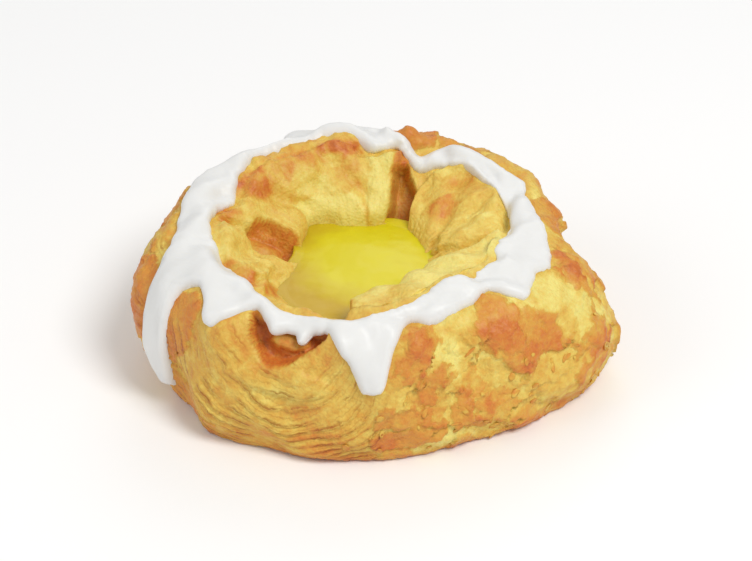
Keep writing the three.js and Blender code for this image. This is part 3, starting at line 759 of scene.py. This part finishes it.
def crust_material():
    """Golden crust: creases where layers end, a little browner and darkened with painted shade, browned torn
    sheets, spots and a thin shine of egg.
    """
    material, nodes, links, shader = new_material("baked_crust", {
        "Subsurface Weight": 0.1, "Subsurface Radius": (1, 0.55, 0.25), "Subsurface Scale": 0.0015,
        "Specular IOR Level": 0.35, "Coat Weight": 0.12, "Coat Roughness": 0.35,
    })

    def combined(*inputs):
        return joined(nodes, links, *inputs)

    spots, crumb = speckled(nodes, 620)
    layer, layered = attribute(nodes, "layer"), attribute(nodes, "layered")
    broken = ranged(nodes, links, noise_texture(nodes, links, 210), 0.36, 0.56)
    wobble = combined("MULTIPLY_ADD", noise_texture(nodes, links, 900, 2), 0.35, layer)
    crease = ranged(nodes, links, combined("FRACT", wobble, 0), 0.72, 0.95)
    fine_layer = combined("FRACT", combined("MULTIPLY", wobble, 2.7), 0)
    fine_crease = ranged(nodes, links, fine_layer, 0.68, 0.95, 0, 0.3)
    creases = combined("MAXIMUM", combined("MULTIPLY", crease, broken), fine_crease)
    lines = combined("MULTIPLY", creases, layered)
    torn = combined("MULTIPLY_ADD", combined("SUBTRACT", spots, 0.5), 0.7, attribute(nodes, "browned"))
    sheet = ranged(nodes, links, torn, 0.12, 0.4)
    well_done = ranged(nodes, links, torn, 0.12, 1.3, 0.31, 0.48)
    bake = combined("MULTIPLY_ADD", combined("SUBTRACT", spots, 0.5), 0.55, attribute(nodes, "bake"))
    evened = combined("MULTIPLY_ADD", bake, -0.5, well_done)
    bake = combined("MULTIPLY_ADD", sheet, evened, bake)
    # The layer creases bake a little browner here; below they also get painted shade multiplied in.
    bake = combined("MULTIPLY_ADD", lines, 0.14, bake)
    # Painted shade: the creases are multiplied with a dull brown, as if in shadow.
    shade = nodes.new("ShaderNodeMix")
    shade.data_type = "RGBA"
    shade.blend_type = "MULTIPLY"
    set_inputs(shade, {"B": CREASE_PAINTED_SHADE})
    links.new(combined("MULTIPLY", lines, 0.85), shade.inputs["Factor"])
    links.new(colour_ramp(nodes, links, bake, BAKED_COLOURS), shade.inputs["A"])
    links.new(shade.outputs["Result"], shader.inputs["Base Color"])
    links.new(ranged(nodes, links, bake, 0, 1, 0.6, 0.42), shader.inputs["Roughness"])
    height = combined("MULTIPLY_ADD", lines, -0.8, combined("MULTIPLY_ADD", sheet, 0.35, crumb))
    dent(nodes, links, height, 0.5, 0.0006)
    return material


dough.data.materials.append(crust_material())
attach(dough, "root")
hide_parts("dough")

# ---- Loose flakes --------------------------------------------------------------------------------------
# Thin curled flakes that the crust sheds, most of them low on the right front. Each is one bent plate, and
# the plates are strewn over the dough where it flakes, turned at random and lifted at one side.
# In metres, as the nodes are.
FLAKE_LONG, FLAKE_WIDE, FLAKE_THICK = 0.0023, 0.0015, 0.0002
FLAKE_CURL = 90.0
FLAKE_TAPER = 0.75
FLAKE_TILT = 0.12
FLAKE_SMALLEST, FLAKE_LARGEST = (0.4, 0.5, 0.8), (1.5, 1.3, 1)
FLAKES_PER_SQUARE_METRE = 24000.0
FLAKE_SEED = 4


def bent_plate(nodes, links, entry):
    """One flake: a thin plate that curls up toward both ends and narrows there."""
    plate = nodes.new("GeometryNodeMeshCube")
    set_inputs(plate, {"Vertices X": 5, "Vertices Y": 4})
    parts, moved = nodes.new("ShaderNodeSeparateXYZ"), nodes.new("ShaderNodeCombineXYZ")
    place, bent = nodes.new("GeometryNodeInputPosition"), nodes.new("GeometryNodeSetPosition")
    links.new(entry.outputs["Size"], plate.inputs["Size"])
    links.new(place.outputs["Position"], parts.inputs["Vector"])
    x, y = parts.outputs["X"], parts.outputs["Y"]
    squared = joined(nodes, links, "MULTIPLY", x, x)
    links.new(joined(nodes, links, "MULTIPLY", squared, entry.outputs["Curl"]), moved.inputs["Z"])
    narrower = joined(nodes, links, "MULTIPLY", squared, entry.outputs["Widening"])
    links.new(joined(nodes, links, "MULTIPLY", narrower, y), moved.inputs["Y"])
    links.new(plate.outputs["Mesh"], bent.inputs["Geometry"])
    links.new(moved.outputs["Vector"], bent.inputs["Offset"])
    return bent.outputs["Geometry"]


def flaking_points(nodes, links, entry):
    """Points on the crust, more of them where it flakes more."""
    where = nodes.new("GeometryNodeInputNamedAttribute")
    where.data_type = "FLOAT"
    set_inputs(where, {"Name": "flaking"})
    often = joined(nodes, links, "MULTIPLY", where.outputs["Attribute"], entry.outputs["Density"])
    strew = nodes.new("GeometryNodeDistributePointsOnFaces")
    links.new(entry.outputs["Crust"], strew.inputs["Mesh"])
    links.new(often, strew.inputs["Density"])
    links.new(entry.outputs["Seed"], strew.inputs["Seed"])
    return strew.outputs["Points"], strew.outputs["Rotation"]


def random_vector(nodes, links, entry, low, high):
    node = nodes.new("FunctionNodeRandomValue")
    node.data_type = "FLOAT_VECTOR"
    node.inputs[0].default_value = low
    node.inputs[1].default_value = high
    links.new(entry.outputs["Seed"], node.inputs["Seed"])
    return node.outputs[0]


def flake_nodes():
    """Flakes strewn over the crust, each turned, tilted and sized at random."""
    group = bpy.data.node_groups.new("strewn_flakes", "GeometryNodeTree")
    for name, kind in (
        ("Crust", "Geometry"), ("Size", "Vector"), ("Curl", "Float"), ("Widening", "Float"),
        ("Density", "Float"), ("Seed", "Int"), ("Finish", "Material"),
    ):
        group.interface.new_socket(name, in_out="INPUT", socket_type="NodeSocket" + kind)
    group.interface.new_socket("Flakes", in_out="OUTPUT", socket_type="NodeSocketGeometry")
    nodes, links = group.nodes, group.links
    entry, leave = nodes.new("NodeGroupInput"), nodes.new("NodeGroupOutput")
    where, facing = flaking_points(nodes, links, entry)
    turn_low, turn_high = (-FLAKE_TILT, -FLAKE_TILT, -math.pi), (FLAKE_TILT, FLAKE_TILT, math.pi)
    turned = nodes.new("FunctionNodeRotateRotation")
    turned.rotation_space = "LOCAL"
    links.new(facing, turned.inputs["Rotation"])
    links.new(random_vector(nodes, links, entry, turn_low, turn_high), turned.inputs["Rotate By"])
    spread, real, coated = (
        nodes.new("GeometryNodeInstanceOnPoints"), nodes.new("GeometryNodeRealizeInstances"),
        nodes.new("GeometryNodeSetMaterial"),
    )
    links.new(where, spread.inputs["Points"])
    links.new(bent_plate(nodes, links, entry), spread.inputs["Instance"])
    links.new(turned.outputs["Rotation"], spread.inputs["Rotation"])
    links.new(random_vector(nodes, links, entry, FLAKE_SMALLEST, FLAKE_LARGEST), spread.inputs["Scale"])
    links.new(spread.outputs["Instances"], real.inputs["Geometry"])
    links.new(real.outputs["Geometry"], coated.inputs["Geometry"])
    links.new(entry.outputs["Finish"], coated.inputs["Material"])
    links.new(coated.outputs["Geometry"], leave.inputs["Flakes"])
    return group


def flake_material():
    """The crust's own colours on a flake, which has no browned sheets."""
    material, nodes, links, shader = new_material("flake_crust", {
        "Roughness": 0.5, "Specular IOR Level": 0.35,
    })
    spots, _ = speckled(nodes, 300)
    toned = ranged(nodes, links, spots, 0.3, 0.7, 0.22, 0.66)
    links.new(colour_ramp(nodes, links, toned, BAKED_COLOURS), shader.inputs["Base Color"])
    return material


def strewn_flakes():
    """The flakes as one plain mesh, made on a stand-in with the dough's mesh."""
    strewn = bpy.data.objects.new("flakes_before", dough.data)
    scene.collection.objects.link(strewn)
    modifier = strewn.modifiers.new("flakes", "NODES")
    modifier.node_group = flake_nodes()
    given = {
        "Size": (FLAKE_LONG, FLAKE_WIDE, FLAKE_THICK),
        "Curl": FLAKE_CURL,
        "Widening": -FLAKE_TAPER / (FLAKE_LONG / 2) ** 2,
        "Density": FLAKES_PER_SQUARE_METRE,
        "Seed": FLAKE_SEED,
        "Finish": flake_material(),
    }
    for socket in modifier.node_group.interface.items_tree:
        if socket.name in given:
            modifier[socket.identifier] = given[socket.name]
    ready = strewn.evaluated_get(bpy.context.evaluated_depsgraph_get())
    mesh = bpy.data.meshes.new_from_object(ready)
    mesh.shade_smooth()
    bpy.data.objects.remove(strewn)
    piece = bpy.data.objects.new("crust_flakes", mesh)
    scene.collection.objects.link(piece)
    return piece


flakes = strewn_flakes()
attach(flakes, "root")

# ---- Custard -------------------------------------------------------------------------------------------
# Set vanilla custard that fills the well. It is poured or piped before baking, so it is smooth, a little
# higher in the middle and clings to the dough at its edge. Its colour is darker toward that edge: partly a
# drier edge, partly painted shade from the dough's wall.
CUSTARD_CROWN = 1.2
CUSTARD_MOUND = 0.9
CUSTARD_CLING = 0.9
CUSTARD_UNDER_DOUGH = 2
CUSTARD_FOOT = WELL_FLOOR + 1
CUSTARD_COLUMNS = 220
CUSTARD_RINGS = 64
# The darker stop is partly the custard's drier edge and partly painted shade from the dough's wall.
CUSTARD_COLOURS_WITH_PAINTED_SHADE = [(0.22, srgb(196, 164, 36)), (0.62, srgb(216, 204, 26))]
# The middle and reach of the brighter part, in metres; the darker surround is partly painted shade from the
# dough's wall.
BRIGHT_MIDDLE, BRIGHT_REACH = (-0.0005, 0.002, 0.025), 0.024


def custard_surface():
    """Rings of points from the custard's edge, hidden in the dough, to its middle."""
    share, angle = np.meshgrid(
        np.linspace(1, 0.02, CUSTARD_RINGS), np.arange(CUSTARD_COLUMNS) * 360 / CUSTARD_COLUMNS, indexing="ij"
    )
    reach = around(CUSTARD_RADIUS, angle) + CUSTARD_UNDER_DOUGH
    t = np.radians(angle)
    x, y = reach * share * np.cos(t) - MIDDLE[0], reach * share * np.sin(t) - MIDDLE[1]
    flat = np.stack([x, y, 0 * x], -1)
    z = CUSTARD_LEVEL + CUSTARD_CROWN * (1 - share**2)
    z += 0.35 * clouds(flat, 14, 21, 2) + 0.12 * clouds(flat, 4, 22, 2)
    z += CUSTARD_MOUND * np.exp(-(((x + 1) / 9) ** 2) - ((y - 2) / 8) ** 2)
    z += CUSTARD_CLING * past(share, 0.86, 0.14)
    return np.stack([x, y, z], -1)


custard_top = custard_surface()
custard_foot = custard_top[0].copy()
custard_foot[:, 2] = CUSTARD_FOOT
grid = np.concatenate([custard_foot[None], custard_top])
points, faces = capped_rings(
    grid, (-MIDDLE[0], -MIDDLE[1], CUSTARD_FOOT), (-MIDDLE[0], -MIDDLE[1], grid[-1, :, 2].mean())
)
custard = mesh_object("custard_fill", points, faces)


def custard_material():
    """Glossy yellow custard, brighter in its middle and darker toward its edge, partly as a drier edge and
    partly as painted shade, mottled, with low ripples.
    """
    material, nodes, links, shader = new_material("set_custard", {
        "Roughness": 0.34, "Specular IOR Level": 0.4,
        "Subsurface Weight": 0.3, "Subsurface Radius": (1, 0.8, 0.2), "Subsurface Scale": 0.004,
    })
    place = nodes.new("ShaderNodeTexCoord")
    # Brighter middle, darker toward the wall: partly a drier edge, partly painted shade.
    bright = nodes.new("ShaderNodeTexGradient")
    bright.gradient_type = "SPHERICAL"
    centre = nodes.new("ShaderNodeMapping")
    centre.vector_type = "TEXTURE"
    set_inputs(centre, {"Location": BRIGHT_MIDDLE, "Scale": (BRIGHT_REACH, BRIGHT_REACH, BRIGHT_REACH)})
    links.new(place.outputs["Object"], centre.inputs["Vector"])
    links.new(centre.outputs["Vector"], bright.inputs["Vector"])
    mottle = noise_texture(nodes, links, 160)
    mixed = joined(nodes, links, "MULTIPLY_ADD", mottle, 0.3, bright.outputs["Fac"])
    links.new(colour_ramp(nodes, links, mixed, CUSTARD_COLOURS_WITH_PAINTED_SHADE), shader.inputs["Base Color"])
    dent(nodes, links, noise_texture(nodes, links, 420, 2), 0.12, 0.0005)
    return material


custard.data.materials.append(custard_material())
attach(custard, "root")
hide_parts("custard")

# ---- Icing ---------------------------------------------------------------------------------------------
# Sugar icing poured along the rim while it was runny: a band with rounded, wavy edges that follows the
# lumps of the crust, and runs down in drips. It dives into the crust at its edges.
ICING_THICK = 1.9
ICING_EDGE = 2.2
ICING_SUNK = 1.0
ICING_WAVER_OUT, ICING_WAVER_IN = 0.05, 0.07
BRIDGED_WIDTH = 4.5
ICING_COLUMNS = 1300
ICING_ROWS = 34
ROWS_PER_BOTTOM_ROW = 4
COLUMN_SEARCH_STEP = 0.045
# The band's two edges, as (angle, place).
ICING_INNER = [
    (7, 4.85), (24, 4.92), (38, 5.1), (50, 5), (61, 5.25), (68, 5.47), (74, 5.2), (80, 4.8), (92, 4.8),
    (97, 4.45), (102, 4.08), (124, 3.98), (133, 3.98), (143, 4.15), (151, 4.45), (156, 4.8), (163, 5.1),
    (172, 4.75), (191, 4.95), (205, 5.3), (221, 5), (233, 4.15), (243, 4), (254, 4.1), (266, 4.15),
    (281, 4.3), (307, 4.4), (334, 4.45), (350, 4.6),
]
ICING_OUTER = [
    (-8, 3.55), (3, 3.6), (10, 3.67), (18, 3.88), (27, 3.62), (34, 4.05), (44, 4.1), (56, 3.92),
    (63, 4.25), (67, 4.82), (70, 4.95), (74, 4.65), (81, 4), (90, 3.5), (107, 3.5), (125, 3.6),
    (143, 3.58), (150, 3.52), (154, 3.35), (161, 3.35), (173, 3.5), (182, 3.5), (193, 3.42),
    (203, 3.45), (210, 3.52), (214.5, 3.34), (218, 3.1), (221.8, 3.06), (223.8, 3.28), (226, 3.5),
    (229.5, 3.74), (233.5, 3.55), (237.3, 3.31), (241.5, 3.44), (247, 3.42), (251, 3.52), (262, 3.5),
    (276, 3.5), (284, 3.8), (290, 3.5), (308, 3.58), (317, 3.72), (321, 3.45), (326, 3.28), (336, 3.48),
    (343, 3.42),
]
# Runs and drips: (angle, half-width in degrees, reach down in places, lean in degrees for each place).
DRIPS = [
    (-90.5, 5.2, 0.42, 0), (-91.8, 10, 0.5, 0), (-160, 4.2, 1.6, 3.5), (-160, 7, 0.4, 0),
    (-113, 2, 0.14, 0), (118, 5, 0.6, -3),
]


def icing_outer(angle):
    """The place of the outer edge, where the drips reach down."""
    place = around(ICING_OUTER, angle)
    for a, half, reach, _ in DRIPS:
        place = place - reach * smooth(1.45 - np.abs(wrap(angle - a)) / half) ** 0.8
    return place


def drip_lean(angle, place):
    """Degrees that a drip goes sideways on its way down."""
    leaning = sum(lean * smooth(2 - np.abs(wrap(angle - a)) / half / 1.3) for a, half, _, lean in DRIPS)
    return leaning * np.maximum(0, 3.3 - place)


def icing_bed(angle, place):
    """The crust under the icing without its small cracks, which the icing bridges."""
    height = rolled_form(angle, place)
    for outline, thick, *_ in PETALS:
        height += thick * inside(outline, angle, place, BRIDGED_WIDTH)
    return smooth_point(angle, place), height


def distance_to(rim, points):
    """Distance of each point to the nearest point of the rim."""
    tree = kdtree.KDTree(len(rim))
    for i, p in enumerate(rim):
        tree.insert(p, i)
    tree.balance()
    return np.array([tree.find(p)[2] for p in points.reshape(-1, 3)]).reshape(points.shape[:-1])


def icing_columns():
    """Angles of the columns, evenly spaced along the wavy outer edge so that drips get enough of them."""
    fine = np.arange(0, 360, COLUMN_SEARCH_STEP)
    edge = smooth_point(fine, icing_outer(fine))
    steps = np.linalg.norm(np.roll(edge, -1, 0) - edge, axis=1)
    length = np.concatenate([[0], np.cumsum(steps)])
    return np.interp(np.linspace(0, length[-1], ICING_COLUMNS, endpoint=False), length, np.append(fine, 360))


column = icing_columns()
wiggle = smooth_point(column, 3.9)
outer_edge = icing_outer(column) + ICING_WAVER_OUT * clouds(wiggle, 4, 31)
inner_edge = around(ICING_INNER, column) + ICING_WAVER_IN * clouds(wiggle, 4, 32)
across = 0.5 - 0.5 * np.cos(np.linspace(0, np.pi, ICING_ROWS))
top_place = outer_edge + (inner_edge - outer_edge) * across[:, None]
top_angle = column + drip_lean(column, top_place)
rim = np.concatenate([smooth_point(top_angle[0], top_place[0]), smooth_point(top_angle[-1], top_place[-1])])
bed, bed_height = icing_bed(top_angle, top_place)
from_edge = distance_to(rim, bed)
bead = np.sqrt(np.clip(1 - (1 - np.clip(from_edge / ICING_EDGE, 0, 1)) ** 2, 0, 1))
flow = 1 + 0.22 * clouds(bed, 7, 33, 2) + 0.06 * clouds(bed, 2.5, 34, 2)
lift = -ICING_SUNK + (ICING_THICK * flow + ICING_SUNK) * bead
direction = outward(top_angle, top_place)
icing_top = bed + direction * (bed_height + lift)[..., None]
icing_bottom = (bed + direction * (bed_height - ICING_SUNK)[..., None])[-2:0:-ROWS_PER_BOTTOM_ROW]
grid = np.concatenate([icing_top, icing_bottom])
icing = mesh_object("poured_icing", grid.reshape(-1, 3), ring_faces(len(grid), ICING_COLUMNS, True))


def icing_material():
    """Smooth white sugar icing, barely hazy, with fine pores."""
    material, nodes, links, shader = new_material("sugar_icing", {
        "Roughness": 0.4, "Specular IOR Level": 0.35,
        "Subsurface Weight": 0.25, "Subsurface Radius": (1, 0.95, 0.85), "Subsurface Scale": 0.0015,
    })
    tint = nodes.new("ShaderNodeMix")
    tint.data_type = "RGBA"
    set_inputs(tint, {"A": srgb(224, 224, 222), "B": srgb(231, 231, 229)})
    links.new(noise_texture(nodes, links, 110), tint.inputs["Factor"])
    links.new(tint.outputs["Result"], shader.inputs["Base Color"])
    dent(nodes, links, noise_texture(nodes, links, 800, 2), 0.1, 0.0003)
    return material


icing.data.materials.append(icing_material())
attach(icing, "root")
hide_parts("icing")
